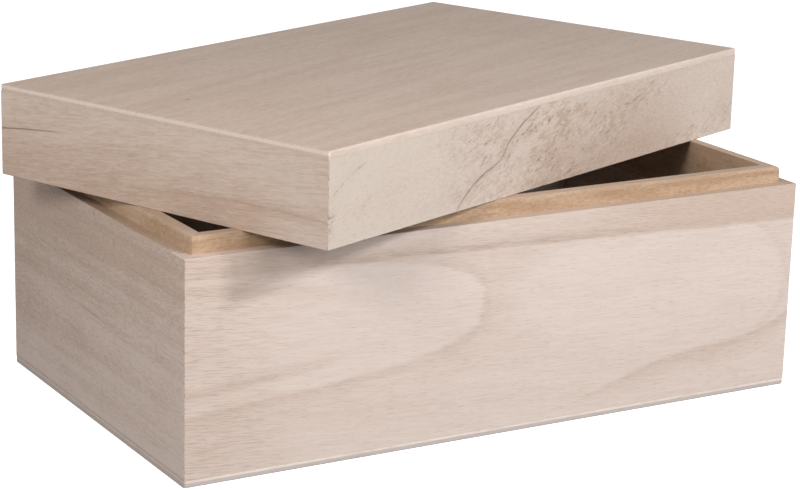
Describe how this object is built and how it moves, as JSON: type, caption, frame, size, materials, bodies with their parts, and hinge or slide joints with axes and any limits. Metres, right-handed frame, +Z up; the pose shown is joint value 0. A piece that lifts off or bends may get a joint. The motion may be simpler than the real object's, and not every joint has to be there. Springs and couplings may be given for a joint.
{
  "type": "wooden keepsake box",
  "caption": "Rectangular raw-wood keepsake box of mitred boards with a raised inner lip and a loose lift-off lid, which lies askew on the lip.",
  "frame": {"origin": "centre of the base's underside, on the surface that the box stands on", "axes": "+X along the box's length, to the right as seen from its front; +Y from front to back; +Z up"},
  "size_m": [0.3454, 0.2788, 0.14],
  "materials": {
    "board_wood": "raw, sanded, pale beige with soft cathedral grain",
    "panel_wood": "raw, sanded, pale beige with fine straight grain",
    "lip_wood": "raw, planed, warm tan with brown flecks"
  },
  "bodies": {
    "base": {"bottom_panel": "panel_wood", "front_wall": "board_wood", "back_wall": "board_wood", "left_wall": "board_wood", "right_wall": "board_wood", "lip_front": "lip_wood", "lip_back": "lip_wood", "lip_left": "lip_wood", "lip_right": "lip_wood"},
    "lid": {"lid_front_wall": "board_wood", "lid_back_wall": "board_wood", "lid_left_wall": "board_wood", "lid_right_wall": "board_wood", "lid_top_panel": "panel_wood"}
  },
  "joints": [
    {"name": "lid_lift", "type": "slide", "parent": "base", "child": "lid", "axis": [0, 0, 1], "range_m": [0, 0.15]}
  ]
}
